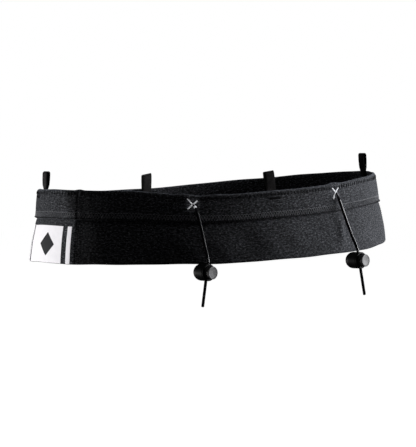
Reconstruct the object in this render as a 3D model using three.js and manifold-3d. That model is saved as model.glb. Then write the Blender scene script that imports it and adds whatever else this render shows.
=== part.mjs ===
// A stretch knit running belt: a closed ring with an elasticated waistband, a doubled pouch panel
// below it, ribbon loops that stand above the rim, and two elastic cords with cord locks for a bib.
// Millimetres, +Z up. The wearer faces -Y and the label is on the -X hip. The origin is the middle
// of the waist opening. Angles go round the waist from the front centre, positive towards +X.
import * as THREE from "three";
import { mergeVertices } from "three/addons/utils/BufferGeometryUtils.js";
import Module from "manifold-3d";

const wasm = await Module();
wasm.setup();

// ---- Driving dimensions ----
const GAP = 0.3; // between pieces that touch

// The ring, on the wearer's side of the cloth.
const WAIST_HALF_WIDTH = 152.5;
const WAIST_HALF_DEPTH = 105;
const HEM_FLARE = 8.5; // how much further out the hem lies than the rim
const FLARE_POWER = 1.2;
const BELT_HEIGHT = 59;
const RIM_DIP = 4.2; // the rim sits lower at front and back, higher on the hips
const HEM_DIP = 2.2;
const RIM_LEAN = 1.6; // the rim's front rises towards the wearer's left
const RING_STEP = 5.2; // degrees a facet

// The cloth, through its thickness.
const KNIT = 0.8;
const BAND_HEIGHT = 23.5;
const BAND_THICKNESS = 4.1;
const PANEL_INSIDE = KNIT + GAP;
const PANEL_OUTSIDE = BAND_THICKNESS - KNIT - GAP;
const TUCK = 7; // how far the pouch reaches up under the band
const ELASTIC_THICKNESS = 1.3;
const ELASTIC_CLEARANCE = 1.1; // above the pouch's tucked edge, and below the folded rim
const SEAM_ANGLE = 69;
const SEAM_GAP = 0.15; // degrees each side of a seam

// Thread and print, standing on the cloth.
const THREAD = 0.4;
const SEAM_WIDTH = 1.2;
const SEAM_BELOW_RIM = 5;
const SEAM_ABOVE_HEM = 1.9;
const SEAM_END_CLEARANCE = 0.5;
const RIM_ROW_DEPTH = 2.1;
const RIM_ROW_HEIGHT = 0.8;
const COVERSTITCH_HEIGHT = 5;
const COVERSTITCH_LIFT = 0.8;
const PRINT = 0.4;

// The label on the -X hip, as angles round the ring.
const LABEL_FROM = -100.2;
const LABEL_TO = -76;
const LABEL_LOW = 1.2;
const LABEL_HIGH = 30;
const STRIPE_GAP = 2.5;
const STRIPE_SPAN = 2.1;
const MARK_ANGLE = -85.5;
const MARK_WIDTH = 18;
const MARK_HEIGHT = 19;

// Ribbon loops: where each is sewn, and how far its fold leans along the belt and out from it.
const LOOPS = {
  front: { angle: 0.4, leanAlong: -1.8, leanOut: 0 },
  right: { angle: 80.9, leanAlong: 0, leanOut: -0.3 },
  back: { angle: 183.1, leanAlong: -0.8, leanOut: 0 },
  left: { angle: -99.3, leanAlong: 0, leanOut: -1.2 },
};
const RIBBON_WIDTH = 9.5;
const RIBBON = 0.9;
const LOOP_RISE = 16.3;
const LOOP_GAPE = 3.2; // between the middles of its two sides, at the widest
const LOOP_LEG = 9;
const LOOP_CLEARANCE = 0.4; // the ribbon lies flat on a curved band
const LOOP_BARTACK_DEPTH = 6.2;
const LOOP_BARTACK_HEIGHT = 2.4;

// Elastic cords: where each leaves its cross-shaped bartack, and how it hangs.
const CROSS_DEPTH = 8.4; // centre of the cross below the rim
const CROSS_ARM = 6.2;
const CROSS_BAR = 1.5;
const CROSS_THICKNESS = 0.6;
const CORD_DIAMETER = 2.5;
const CORD_SIDES = 8;
const CORD_STEP = 4.5;
const CORD_DROP = 5.5; // the cord leaves the band this far below its cross
const CORD_BOW = 0.5; // the hanging cord bows along the belt and sags in towards it
const CORD_SAG = 0.9;
const HANG_SHARES = [0.15, 0.42, 0.72];
const LOCK_STRAIGHT = 8.5; // cord that stays straight each side of the lock's middle
// A lock hangs out from the band; a tail runs from the middle of the lock to the cut end.
const SIDES = {
  left: {
    angle: -26.95,
    leaveAlong: 2.7,
    leaveOut: 7.5,
    lockAlong: 6.3,
    lockDrop: 54.9,
    lockOut: 22.5,
    lockTurn: 33.8,
    tailLength: 28,
    tailAlong: -5,
    tailOut: 2.5,
  },
  right: {
    angle: 25.3,
    leaveAlong: 0.2,
    leaveOut: 7.4,
    lockAlong: 6.3,
    lockDrop: 57,
    lockOut: 21.7,
    lockTurn: 0,
    tailLength: 30,
    tailAlong: 5.4,
    tailOut: 0,
  },
};

// Cord lock, measured along its axis from the cord; the dome is on the wearer's side.
const LOCK_RADIUS = 7;
const LOCK_DOME_CENTRE = -5.9;
const LOCK_MOUTH = 2.8;
const LOCK_CHAMFER = 0.5;
const LOCK_CAVITY = 5.65;
const LOCK_CAVITY_END = -6.2;
const SPRING_SEAT_RADIUS = 3.6;
const SPRING_SEAT_END = -10.6;
const LOCK_BORE_CLEARANCE = 0.45;
const LOCK_BORE_RADIUS = CORD_DIAMETER / 2 + LOCK_BORE_CLEARANCE;
const PLUNGER_RADIUS = 5.3;
const PLUNGER_TRAVEL = 2.5;
const PLUNGER_WEB = 1.8;
const PLUNGER_FACE = 7.5;
const PLUNGER_BACK_CHAMFER = 0.3;
const SPRING_RADIUS = 2.6;
const SPRING_WIRE = 0.35;
const SPRING_TURNS = 4;
const SPRING_CLEARANCE = 0.1;
const SPRING_STEPS = 10; // facets a turn
const ROUND_FACETS = 20;
const BORE_FACETS = 16;
const DOME_FACETS = 6;

const COLOURS = {
  knit: 0x1d1e22,
  band: 0x1f2024,
  elastic: 0x2b2b2e,
  thread: 0x0f1013,
  paleThread: 0xc9cbd0,
  ribbon: 0x1a1a1e,
  print: 0xf3f2f5,
  mark: 0x55555c,
  cord: 0x111114,
  lock: 0x0b0b0d,
  plunger: 0x3a3a3e,
  steel: 0xb4b6ba,
};

const belt = new THREE.Group();
const radians = THREE.MathUtils.degToRad;

function add(name, geometry, colour, roughness = 0.9, metalness = 0) {
  const material = new THREE.MeshStandardMaterial({ color: colour, roughness, metalness });
  const mesh = new THREE.Mesh(geometry, material);
  mesh.name = name;
  belt.add(mesh);
  return mesh;
}

// ---- The ring's surface ----

function flareAt(up) {
  const below = Math.max(0, 1 - up / BELT_HEIGHT);
  return HEM_FLARE * below ** FLARE_POWER;
}

// Height above the origin of a line that runs `up` mm above the hem of the flat belt.
function heightAt(angle, up) {
  const lean = RIM_LEAN * Math.sin(2 * angle) * Math.max(0, Math.cos(angle));
  const rim = BELT_HEIGHT / 2 - RIM_DIP * Math.cos(2 * angle) + lean;
  const hem = -BELT_HEIGHT / 2 - HEM_DIP * Math.cos(2 * angle);
  return THREE.MathUtils.lerp(hem, rim, up / BELT_HEIGHT);
}

function outwardAt(angle) {
  return new THREE.Vector3(
    Math.sin(angle) / WAIST_HALF_WIDTH,
    -Math.cos(angle) / WAIST_HALF_DEPTH,
    0,
  ).normalize();
}

// A point of the belt: round the waist, up from the hem, and out from the wearer.
function ringPoint(angle, up, out) {
  const flare = flareAt(up);
  const point = new THREE.Vector3(
    (WAIST_HALF_WIDTH + flare) * Math.sin(angle),
    -(WAIST_HALF_DEPTH + flare) * Math.cos(angle),
    heightAt(angle, up),
  );
  return point.addScaledVector(outwardAt(angle), out);
}

function arcPerRadian(angle) {
  return Math.hypot(WAIST_HALF_WIDTH * Math.cos(angle), WAIST_HALF_DEPTH * Math.sin(angle));
}

function reshape(geometry, move) {
  const positions = geometry.attributes.position;
  const corner = new THREE.Vector3();
  for (let i = 0; i < positions.count; i += 1) {
    corner.fromBufferAttribute(positions, i);
    const moved = move(corner);
    positions.setXYZ(i, moved.x, moved.y, moved.z);
  }
  return geometry;
}

// Sweeps a cross-section, drawn as (out, up), round the waist between two angles in degrees.
function sweepRound(section, from, to) {
  const steps = Math.max(1, Math.round((to - from) / RING_STEP));
  const swept = new THREE.ExtrudeGeometry(section, { depth: 1, steps, bevelEnabled: false });
  return reshape(swept, (p) => ringPoint(radians(THREE.MathUtils.lerp(to, from, p.z)), p.y, p.x));
}

// Lays a flat piece, drawn as (along, up, out), on the belt at an angle and a height.
function layOn(geometry, degrees, up) {
  const angle = radians(degrees);
  const arc = arcPerRadian(angle);
  return reshape(geometry, (p) => ringPoint(angle + p.x / arc, up + p.y, p.z));
}

function rectangle(left, right, low, high) {
  return new THREE.Shape([
    new THREE.Vector2(left, low),
    new THREE.Vector2(right, low),
    new THREE.Vector2(right, high),
    new THREE.Vector2(left, high),
  ]);
}

// ---- Strips of cloth seen from the edge ----

function arcPoints(x, y, radius, startDegrees, endDegrees, count) {
  return Array.from({ length: count + 1 }, (_, i) => {
    const turn = radians(THREE.MathUtils.lerp(startDegrees, endDegrees, i / count));
    return new THREE.Vector2(x + radius * Math.cos(turn), y + radius * Math.sin(turn));
  });
}

// The outline of a strip of one thickness whose middle follows a line of points.
function stripShape(points, thickness) {
  const side = (sign) =>
    points.map((point, i) => {
      const before = points[Math.max(0, i - 1)];
      const after = points[Math.min(points.length - 1, i + 1)];
      const along = after.clone().sub(before).normalize();
      const across = new THREE.Vector2(-along.y, along.x);
      return point.clone().addScaledVector(across, (sign * thickness) / 2);
    });
  return new THREE.Shape([...side(1), ...side(-1).reverse()]);
}

// The pouch: one knit panel folded at the hem, both layers reaching up under the band.
function pouchSection() {
  const inner = PANEL_INSIDE + KNIT / 2;
  const outer = PANEL_OUTSIDE - KNIT / 2;
  const fold = (outer - inner) / 2;
  const foldUp = KNIT / 2 + fold;
  const top = BELT_HEIGHT - BAND_HEIGHT + TUCK;
  return stripShape(
    [
      new THREE.Vector2(inner, top),
      new THREE.Vector2(inner, top / 2),
      ...arcPoints(inner + fold, foldUp, fold, 180, 360, 3),
      new THREE.Vector2(outer, top / 2),
      new THREE.Vector2(outer, top),
    ],
    KNIT,
  );
}

// The waistband: one knit strip folded over the rim.
function bandSection() {
  const inner = KNIT / 2;
  const outer = BAND_THICKNESS - KNIT / 2;
  const fold = (outer - inner) / 2;
  const low = BELT_HEIGHT - BAND_HEIGHT;
  return stripShape(
    [
      new THREE.Vector2(outer, low),
      ...arcPoints(inner + fold, BELT_HEIGHT - KNIT / 2 - fold, fold, 0, 180, 4),
      new THREE.Vector2(inner, low),
    ],
    KNIT,
  );
}

function elasticSection() {
  const middle = BAND_THICKNESS / 2;
  const low = BELT_HEIGHT - BAND_HEIGHT + TUCK + ELASTIC_CLEARANCE;
  const high = BELT_HEIGHT - KNIT - ELASTIC_CLEARANCE;
  return rectangle(middle - ELASTIC_THICKNESS / 2, middle + ELASTIC_THICKNESS / 2, low, high);
}

function addCloth() {
  const halves = {
    front: [-SEAM_ANGLE + SEAM_GAP, SEAM_ANGLE - SEAM_GAP],
    back: [SEAM_ANGLE + SEAM_GAP, 360 - SEAM_ANGLE - SEAM_GAP],
  };
  for (const [name, [from, to]] of Object.entries(halves)) {
    add(`pouch_panel_${name}`, sweepRound(pouchSection(), from, to), COLOURS.knit);
    add(`waistband_${name}`, sweepRound(bandSection(), from, to), COLOURS.band);
  }
  const round = [SEAM_ANGLE + SEAM_GAP, 360 + SEAM_ANGLE - SEAM_GAP];
  add("waistband_elastic", sweepRound(elasticSection(), ...round), COLOURS.elastic);
}

// ---- Stitching ----

function addSideSeams() {
  const bandLow = BELT_HEIGHT - BAND_HEIGHT;
  const coverstitchTop = bandLow + COVERSTITCH_LIFT + COVERSTITCH_HEIGHT;
  const runs = {
    band: [coverstitchTop + SEAM_END_CLEARANCE, BELT_HEIGHT - SEAM_BELOW_RIM, BAND_THICKNESS],
    pouch: [SEAM_ABOVE_HEM, bandLow - 2 * SEAM_END_CLEARANCE, PANEL_OUTSIDE],
  };
  for (const [side, degrees] of [["left", -SEAM_ANGLE], ["right", SEAM_ANGLE]]) {
    for (const [part, [low, high, surface]] of Object.entries(runs)) {
      const strip = new THREE.BoxGeometry(SEAM_WIDTH, high - low, THREAD, 1, 4, 1);
      strip.translate(0, (low + high) / 2, surface + GAP + THREAD / 2);
      add(`side_seam_${part}_${side}`, layOn(strip, degrees, 0), COLOURS.thread);
    }
  }
}

function addStitchRows() {
  const out = BAND_THICKNESS + GAP;
  const bandLow = BELT_HEIGHT - BAND_HEIGHT + COVERSTITCH_LIFT;
  const cover = rectangle(out, out + THREAD, bandLow, bandLow + COVERSTITCH_HEIGHT);
  const round = [SEAM_ANGLE + SEAM_GAP, 360 + SEAM_ANGLE - SEAM_GAP];
  add("band_coverstitch", sweepRound(cover, ...round), COLOURS.thread);

  const top = BELT_HEIGHT - RIM_ROW_DEPTH;
  const row = rectangle(out, out + THREAD, top - RIM_ROW_HEIGHT, top);
  add("rim_stitch", sweepRound(row, ...round), COLOURS.thread);
}

// ---- Label ----

function addPrint(name, from, to) {
  const out = PANEL_OUTSIDE + GAP;
  const patch = rectangle(out, out + PRINT, LABEL_LOW, LABEL_HIGH);
  add(name, sweepRound(patch, from, to), COLOURS.print, 0.55);
}

function addLabel() {
  addPrint("label_field", LABEL_FROM, LABEL_TO);
  const frontStripe = LABEL_TO + STRIPE_GAP;
  const backStripe = LABEL_FROM - STRIPE_GAP;
  addPrint("label_stripe_front", frontStripe, frontStripe + STRIPE_SPAN);
  addPrint("label_stripe_back", backStripe - STRIPE_SPAN, backStripe);
  const mark = new THREE.Shape([
    new THREE.Vector2(0, -MARK_HEIGHT / 2),
    new THREE.Vector2(MARK_WIDTH / 2, 0),
    new THREE.Vector2(0, MARK_HEIGHT / 2),
    new THREE.Vector2(-MARK_WIDTH / 2, 0),
  ]);
  const tile = new THREE.ExtrudeGeometry(mark, { depth: PRINT, bevelEnabled: false });
  tile.translate(0, 0, PANEL_OUTSIDE + 2 * GAP + PRINT);
  const middle = (LABEL_LOW + LABEL_HIGH) / 2;
  add("label_mark", layOn(tile, MARK_ANGLE, middle), COLOURS.mark, 0.6);
}

// ---- Ribbon loops ----

// A frame on the belt: x out from the wearer, y up, z back along the ring.
function uprightFrame(degrees, up) {
  const angle = radians(degrees);
  const outward = outwardAt(angle);
  const upward = new THREE.Vector3(0, 0, 1);
  const across = outward.clone().cross(upward);
  return new THREE.Matrix4()
    .makeBasis(outward, upward, across)
    .setPosition(ringPoint(angle, up, 0));
}

// One ribbon folded double. Its two ends lie together on the wearer's side of the band, where
// they are sewn on, and the fold stands open above the rim.
function loopSection(leanOut) {
  const leg = (RIBBON + GAP) / 2;
  const middle = -LOOP_CLEARANCE - leg - RIBBON / 2;
  const gape = LOOP_GAPE / 2;
  const halfWay = (leg + gape) / 2;
  const crown = LOOP_RISE - gape - RIBBON / 2;
  const follow = (out, up) => {
    const lean = (leanOut * Math.max(0, up)) / crown;
    return new THREE.Vector2(out + flareAt(BELT_HEIGHT + up) + lean, up);
  };
  return stripShape(
    [
      follow(middle + leg, -LOOP_LEG),
      follow(middle + leg, -LOOP_LEG / 2),
      follow(middle + leg, 0),
      follow(middle + halfWay, crown / 2),
      ...arcPoints(middle + leanOut, crown, gape, 0, 180, 8),
      follow(middle - halfWay, crown / 2),
      follow(middle - leg, 0),
      follow(middle - leg, -LOOP_LEG / 2),
      follow(middle - leg, -LOOP_LEG),
    ],
    RIBBON,
  );
}

function addLoops() {
  for (const [name, { angle, leanAlong, leanOut }] of Object.entries(LOOPS)) {
    const ribbon = new THREE.ExtrudeGeometry(loopSection(leanOut), {
      depth: RIBBON_WIDTH,
      bevelEnabled: false,
    });
    ribbon.translate(0, 0, -RIBBON_WIDTH / 2);
    const slant = -leanAlong / LOOP_RISE;
    ribbon.applyMatrix4(new THREE.Matrix4().makeShear(0, 0, 0, slant, 0, 0));
    ribbon.applyMatrix4(uprightFrame(angle, BELT_HEIGHT));
    add(`gel_loop_${name}`, ribbon, COLOURS.ribbon, 0.75);

    const tack = new THREE.BoxGeometry(RIBBON_WIDTH, LOOP_BARTACK_HEIGHT, THREAD, 4, 1, 1);
    tack.translate(0, -LOOP_BARTACK_DEPTH, BAND_THICKNESS + GAP + THREAD / 2);
    add(`loop_bartack_${name}`, layOn(tack, angle, BELT_HEIGHT), COLOURS.thread);
  }
}

// ---- Elastic cords ----

function crossShape() {
  const corners = [];
  const half = CROSS_BAR / 2;
  const oneArm = [[CROSS_ARM, -half], [CROSS_ARM, half], [half, half]];
  for (let quarter = 0; quarter < 4; quarter += 1) {
    for (const [x, y] of oneArm) {
      const corner = new THREE.Vector2(x, y);
      corners.push(corner.rotateAround(new THREE.Vector2(), radians(45 + 90 * quarter)));
    }
  }
  return new THREE.Shape(corners);
}

// Points of one side's cord as (along the belt, up, out), from the middle of its cross.
function cordRoute(hang) {
  const { tailLength, tailAlong, tailOut } = hang;
  const middle = new THREE.Vector3(hang.lockAlong, -hang.lockDrop, hang.lockOut);
  const tailUp = -Math.sqrt(tailLength ** 2 - tailAlong ** 2 - tailOut ** 2);
  const tail = new THREE.Vector3(tailAlong, tailUp, tailOut).normalize();
  const onTail = (distance) => middle.clone().addScaledVector(tail, distance);
  const start = new THREE.Vector3(hang.leaveAlong, -CORD_DROP, hang.leaveOut);
  const bow = new THREE.Vector3(CORD_BOW, 0, -CORD_SAG);
  const hanging = HANG_SHARES.map((share) => {
    const straight = start.clone().lerp(onTail(-LOCK_STRAIGHT), share);
    return straight.addScaledVector(bow, Math.sin(Math.PI * share));
  });
  return {
    middle,
    tail,
    free: [
      start,
      ...hanging,
      onTail(-LOCK_STRAIGHT),
      onTail(0),
      onTail(LOCK_STRAIGHT),
      onTail(tailLength),
    ],
  };
}

function cordTube(points, steps) {
  const route = new THREE.CatmullRomCurve3(points, false, "centripetal");
  const section = new THREE.Shape(
    arcPoints(0, 0, CORD_DIAMETER / 2, 0, 360 - 360 / CORD_SIDES, CORD_SIDES - 1),
  );
  return new THREE.ExtrudeGeometry(section, { steps, extrudePath: route, bevelEnabled: false });
}

function addCord(side, hang) {
  const { angle, lockDrop, tailLength } = hang;
  const frame = crossFrame(angle);
  const place = (point) => point.clone().applyMatrix4(frame);
  const route = cordRoute(hang);

  const cross = new THREE.ExtrudeGeometry(crossShape(), {
    depth: CROSS_THICKNESS,
    bevelEnabled: false,
  });
  cross.translate(0, 0, BAND_THICKNESS + GAP);
  const crossUp = BELT_HEIGHT - CROSS_DEPTH;
  add(`cord_bartack_${side}`, layOn(cross, angle, crossUp), COLOURS.paleThread, 0.7);

  const start = route.free[0];
  const lead = start.clone().sub(route.free[1]).normalize();
  const rootEnd = start.clone().addScaledVector(lead, GAP);
  const rootStart = start.clone().addScaledVector(lead, GAP + CORD_DIAMETER);
  const root = cordTube([rootStart, rootEnd].map(place), 1);
  add(`cord_root_${side}`, root, COLOURS.cord, 0.6);

  const steps = Math.round((lockDrop + tailLength) / CORD_STEP);
  add(`cord_${side}`, cordTube(route.free.map(place), steps), COLOURS.cord, 0.6);
}

// A frame at the middle of a cord's cross: x along the belt, y up, z out from the wearer.
function crossFrame(degrees) {
  const angle = radians(degrees);
  const outward = outwardAt(angle);
  const upward = new THREE.Vector3(0, 0, 1);
  const along = upward.clone().cross(outward);
  return new THREE.Matrix4()
    .makeBasis(along, upward, outward)
    .setPosition(ringPoint(angle, BELT_HEIGHT - CROSS_DEPTH, 0));
}

// ---- Cord locks: drawn with the axis along +Z and the cord along Y ----

function toSolid(geometry) {
  const bare = geometry.clone();
  bare.deleteAttribute("normal");
  bare.deleteAttribute("uv");
  const merged = mergeVertices(bare, 1e-4);
  const vertProperties = new Float32Array(merged.attributes.position.array);
  const triVerts = new Uint32Array(merged.index.array);
  return new wasm.Manifold(new wasm.Mesh({ numProp: 3, vertProperties, triVerts }));
}

function toGeometry(solid) {
  const { vertProperties, triVerts } = solid.getMesh();
  const geometry = new THREE.BufferGeometry();
  geometry.setAttribute("position", new THREE.BufferAttribute(vertProperties, 3));
  geometry.setIndex(new THREE.BufferAttribute(triVerts, 1));
  geometry.computeVertexNormals();
  return geometry;
}

function cut(geometry, tool) {
  return toGeometry(toSolid(geometry).subtract(toSolid(tool)));
}

// Turns an outline of (radius, distance along the axis) into a round piece.
function turned(outline) {
  const points = outline.map(([radius, along]) => new THREE.Vector2(radius, along));
  const piece = new THREE.LatheGeometry(points, ROUND_FACETS);
  return piece.rotateX(Math.PI / 2);
}

function lockHousing() {
  const [, ...dome] = arcPoints(0, LOCK_DOME_CENTRE, LOCK_RADIUS, -90, 0, DOME_FACETS);
  const shell = turned([
    [0, LOCK_DOME_CENTRE - LOCK_RADIUS],
    ...dome.map(({ x, y }) => [x, y]),
    [LOCK_RADIUS, LOCK_MOUTH - LOCK_CHAMFER],
    [LOCK_RADIUS - LOCK_CHAMFER, LOCK_MOUTH],
    [LOCK_CAVITY, LOCK_MOUTH],
    [LOCK_CAVITY, LOCK_CAVITY_END],
    [SPRING_SEAT_RADIUS, LOCK_CAVITY_END],
    [SPRING_SEAT_RADIUS, SPRING_SEAT_END],
    [0, SPRING_SEAT_END],
  ]);
  const through = 3 * LOCK_RADIUS;
  const bore = new THREE.CylinderGeometry(LOCK_BORE_RADIUS, LOCK_BORE_RADIUS, through, BORE_FACETS);
  return cut(shell, bore);
}

// The plunger's slot lets it travel past the cord.
function lockPlunger() {
  const slotRadius = CORD_DIAMETER / 2 + GAP;
  const back = -slotRadius - PLUNGER_WEB;
  const body = turned([
    [0, back],
    [PLUNGER_RADIUS - PLUNGER_BACK_CHAMFER, back],
    [PLUNGER_RADIUS, back + PLUNGER_BACK_CHAMFER],
    [PLUNGER_RADIUS, PLUNGER_FACE - LOCK_CHAMFER],
    [PLUNGER_RADIUS - LOCK_CHAMFER, PLUNGER_FACE],
    [0, PLUNGER_FACE],
  ]);
  const through = 3 * PLUNGER_RADIUS;
  const slot = new THREE.ExtrudeGeometry(
    new THREE.Shape([
      ...arcPoints(0, 0, slotRadius, 180, 360, BORE_FACETS / 2),
      ...arcPoints(0, PLUNGER_TRAVEL, slotRadius, 0, 180, BORE_FACETS / 2),
    ]),
    { depth: through, bevelEnabled: false },
  );
  slot.translate(0, 0, -through / 2);
  slot.rotateX(Math.PI / 2);
  return cut(body, slot);
}

class Helix extends THREE.Curve {
  constructor(radius, from, to, turns) {
    super();
    Object.assign(this, { radius, from, to, turns });
  }

  getPoint(share, target = new THREE.Vector3()) {
    const turn = 2 * Math.PI * this.turns * share;
    const along = THREE.MathUtils.lerp(this.from, this.to, share);
    return target.set(this.radius * Math.cos(turn), this.radius * Math.sin(turn), along);
  }
}

function lockSpring() {
  const web = -CORD_DIAMETER / 2 - GAP - PLUNGER_WEB;
  const from = SPRING_SEAT_END + SPRING_WIRE + SPRING_CLEARANCE;
  const to = web - SPRING_WIRE - SPRING_CLEARANCE;
  const extrudePath = new Helix(SPRING_RADIUS, from, to, SPRING_TURNS);
  const wire = new THREE.Shape(arcPoints(0, 0, SPRING_WIRE, 0, 300, 5));
  const steps = SPRING_TURNS * SPRING_STEPS;
  return new THREE.ExtrudeGeometry(wire, { steps, extrudePath, bevelEnabled: false });
}

function addLock(side, hang) {
  const { angle, lockTurn } = hang;
  const { middle, tail } = cordRoute(hang);
  const frame = crossFrame(angle);
  const position = middle.clone().applyMatrix4(frame);
  const up = tail.clone().negate().transformDirection(frame);
  const upright = new THREE.Vector3(0, 0, 1);
  const face = outwardAt(radians(angle)).applyAxisAngle(upright, radians(lockTurn));
  const axis = face.addScaledVector(up, -face.dot(up)).normalize();
  const placing = new THREE.Matrix4().makeBasis(up.clone().cross(axis), up, axis);
  placing.setPosition(position);

  const pieces = {
    cord_lock_housing: [lockHousing(), COLOURS.lock, 0.25, 0],
    cord_lock_plunger: [lockPlunger(), COLOURS.plunger, 0.35, 0],
    cord_lock_spring: [lockSpring(), COLOURS.steel, 0.3, 0.9],
  };
  for (const [name, [geometry, ...finish]] of Object.entries(pieces)) {
    add(`${name}_${side}`, geometry.applyMatrix4(placing), ...finish);
  }
}

addCloth();
addSideSeams();
addStitchRows();
addLabel();
addLoops();
for (const [side, hang] of Object.entries(SIDES)) {
  addCord(side, hang);
  addLock(side, hang);
}

export default belt;
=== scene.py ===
import math

import bpy
import numpy as np
from mathutils import Matrix, Vector


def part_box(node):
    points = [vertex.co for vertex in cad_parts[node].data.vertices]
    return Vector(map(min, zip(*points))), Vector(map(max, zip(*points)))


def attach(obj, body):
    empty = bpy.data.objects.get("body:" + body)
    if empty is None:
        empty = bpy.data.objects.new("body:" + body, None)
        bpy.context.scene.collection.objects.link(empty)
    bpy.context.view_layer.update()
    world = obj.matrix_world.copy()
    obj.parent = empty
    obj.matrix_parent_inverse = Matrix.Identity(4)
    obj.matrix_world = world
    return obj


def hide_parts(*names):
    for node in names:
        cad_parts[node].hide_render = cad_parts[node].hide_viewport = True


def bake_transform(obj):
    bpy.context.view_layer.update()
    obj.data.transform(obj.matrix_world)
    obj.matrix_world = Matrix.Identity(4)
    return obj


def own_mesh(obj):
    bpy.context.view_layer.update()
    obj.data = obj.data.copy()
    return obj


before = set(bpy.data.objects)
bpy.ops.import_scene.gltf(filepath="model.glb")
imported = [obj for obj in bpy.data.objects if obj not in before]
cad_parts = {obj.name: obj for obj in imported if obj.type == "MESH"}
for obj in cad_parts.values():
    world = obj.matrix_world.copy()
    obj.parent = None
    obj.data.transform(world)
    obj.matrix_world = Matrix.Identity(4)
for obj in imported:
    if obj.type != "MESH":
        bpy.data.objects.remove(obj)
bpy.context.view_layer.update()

MM = 0.001

# ---- The belt, with the CAD model's driving dimensions ----
HALF_WIDTH = 152.5 * MM
HALF_DEPTH = 105 * MM
HEM_FLARE = 8.5 * MM
FLARE_POWER = 1.2
HEIGHT = 59 * MM
RIM_DIP = 4.2 * MM
HEM_DIP = 2.2 * MM
RIM_LEAN = 1.6 * MM
GAP = 0.3 * MM
KNIT = 0.8 * MM
BAND_THICKNESS = 4.1 * MM
BAND_LOW = HEIGHT - 23.5 * MM
COVER_ROW = BAND_LOW + 5.4 * MM
RIM_ROW = HEIGHT - 3.1 * MM
POUCH_INSIDE = KNIT + GAP
POUCH_OUTSIDE = BAND_THICKNESS - KNIT - GAP
POUCH_TOP = BAND_LOW + 7 * MM
ELASTIC_THICKNESS = 1.3 * MM
ELASTIC_CLEARANCE = 1.1 * MM
SEAM = math.radians(69)
ALL_ROUND = (SEAM, 2 * math.pi + SEAM)
CROSS_DEPTH = 8.4 * MM
CROSS_ARM = 6.2 * MM
CROSS_BAR = 0.95 * MM
CORD_DIAMETER = 2.5 * MM
LOCK_STRAIGHT = 8.5 * MM
HANG_SHARES = (0.15, 0.42, 0.72)
SAG = np.array([0.5, 0, -0.9]) * MM
SIDES = {
    "left": {
        "angle": math.radians(-26.95),
        "leaves": np.array([2.7, -5.5, 7.5]) * MM,
        "lock_middle": np.array([6.3, -54.9, 22.5]) * MM,
        "lock_turn": math.radians(33.8),
        "tail_length": 28 * MM,
        "tail_along": -5 * MM,
        "tail_out": 2.5 * MM,
    },
    "right": {
        "angle": math.radians(25.3),
        "leaves": np.array([0.2, -5.5, 7.4]) * MM,
        "lock_middle": np.array([6.3, -57, 21.7]) * MM,
        "lock_turn": 0.0,
        "tail_length": 30 * MM,
        "tail_along": 5.4 * MM,
        "tail_out": 0.0,
    },
}
LABEL_LOW = 0.45 * MM
LABEL_HIGH = 30 * MM
LABEL_EDGES = {
    "label_field": (-100.2, -76),
    "label_stripe_front": (-73.5, -71.4),
    "label_stripe_back": (-104.8, -102.7),
}
MARK_WIDTH = 18 * MM
MARK_HEIGHT = 19 * MM


# ---- Node materials ----

HEATHER_GREY = (0.16, 0.165, 0.18)
RIBBON_EDGE = 4.4 * MM
# Width of the painted shade along the ribbon's edges.
EDGE_SHADE_WIDTH = 1.6 * MM
PLY = 0.5 * MM
BRAID_PITCH = 1.3 * MM


class Nodes:
    """The nodes of a material or a world."""

    def __init__(self, owner):
        owner.use_nodes = True
        self.tree = owner.node_tree

    def set(self, node, socket, value):
        target = node.inputs[socket]
        if isinstance(value, bpy.types.NodeSocket):
            self.tree.links.new(value, target)
        elif target.type == "RGBA":
            target.default_value = (*value, 1)
        else:
            target.default_value = value

    def node(self, kind, inputs, output=0, **settings):
        made = self.tree.nodes.new(kind)
        for setting, value in settings.items():
            setattr(made, setting, value)
        for socket, value in inputs.items():
            self.set(made, socket, value)
        return made.outputs[output]


class Look(Nodes):
    """A procedural material: one Principled shader and the nodes that feed it."""

    def __init__(self, name, **surface):
        self.material = bpy.data.materials.new(name)
        super().__init__(self.material)
        self.shader = self.tree.nodes["Principled BSDF"]
        for socket, value in surface.items():
            self.set(self.shader, socket.replace("_", " "), value)

    def calc(self, operation, first, second=0.0):
        return self.node("ShaderNodeMath", {0: first, 1: second}, operation=operation)

    def times(self, first, second):
        return self.calc("MULTIPLY", first, second)

    def plus(self, first, second):
        return self.calc("ADD", first, second)

    def uv(self):
        """Metres along and up the piece."""
        split = self.tree.nodes.new("ShaderNodeSeparateXYZ")
        self.set(split, 0, self.node("ShaderNodeUVMap", {}, uv_map="Weave"))
        return split.outputs[0], split.outputs[1]

    def place(self):
        return self.node("ShaderNodeTexCoord", {}, output=3)

    def vector(self, x, y):
        return self.node("ShaderNodeCombineXYZ", {0: x, 1: y})

    def noise(self, vector, scale, detail=2.0, roughness=0.5):
        inputs = {"Vector": vector, "Scale": scale, "Detail": detail, "Roughness": roughness}
        return self.node("ShaderNodeTexNoise", inputs)

    def spread(self, value, low, high, to_low=0.0, to_high=1.0):
        inputs = {"Value": value, 1: low, 2: high, 3: to_low, 4: to_high}
        return self.node("ShaderNodeMapRange", inputs)

    def wave(self, value, pitch):
        """A smooth wave from 0 to 1."""
        turns = self.times(value, 2 * math.pi / pitch)
        return self.spread(self.calc("SINE", turns), -1.0, 1.0)

    def mix(self, share, first, second):
        inputs = {"Factor": share, 6: first, 7: second}
        return self.node("ShaderNodeMix", inputs, output=2, data_type="RGBA")

    def colour(self, value, brightness=None):
        if brightness is not None:
            inputs = {0: value, "Scale": brightness}
            value = self.node("ShaderNodeVectorMath", inputs, operation="SCALE")
        self.set(self.shader, "Base Color", value)

    def rough(self, value):
        self.set(self.shader, "Roughness", value)

    def bump(self, height, depth, strength=1.0):
        inputs = {"Height": height, "Distance": depth, "Strength": strength}
        self.set(self.shader, "Normal", self.node("ShaderNodeBump", inputs))


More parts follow.
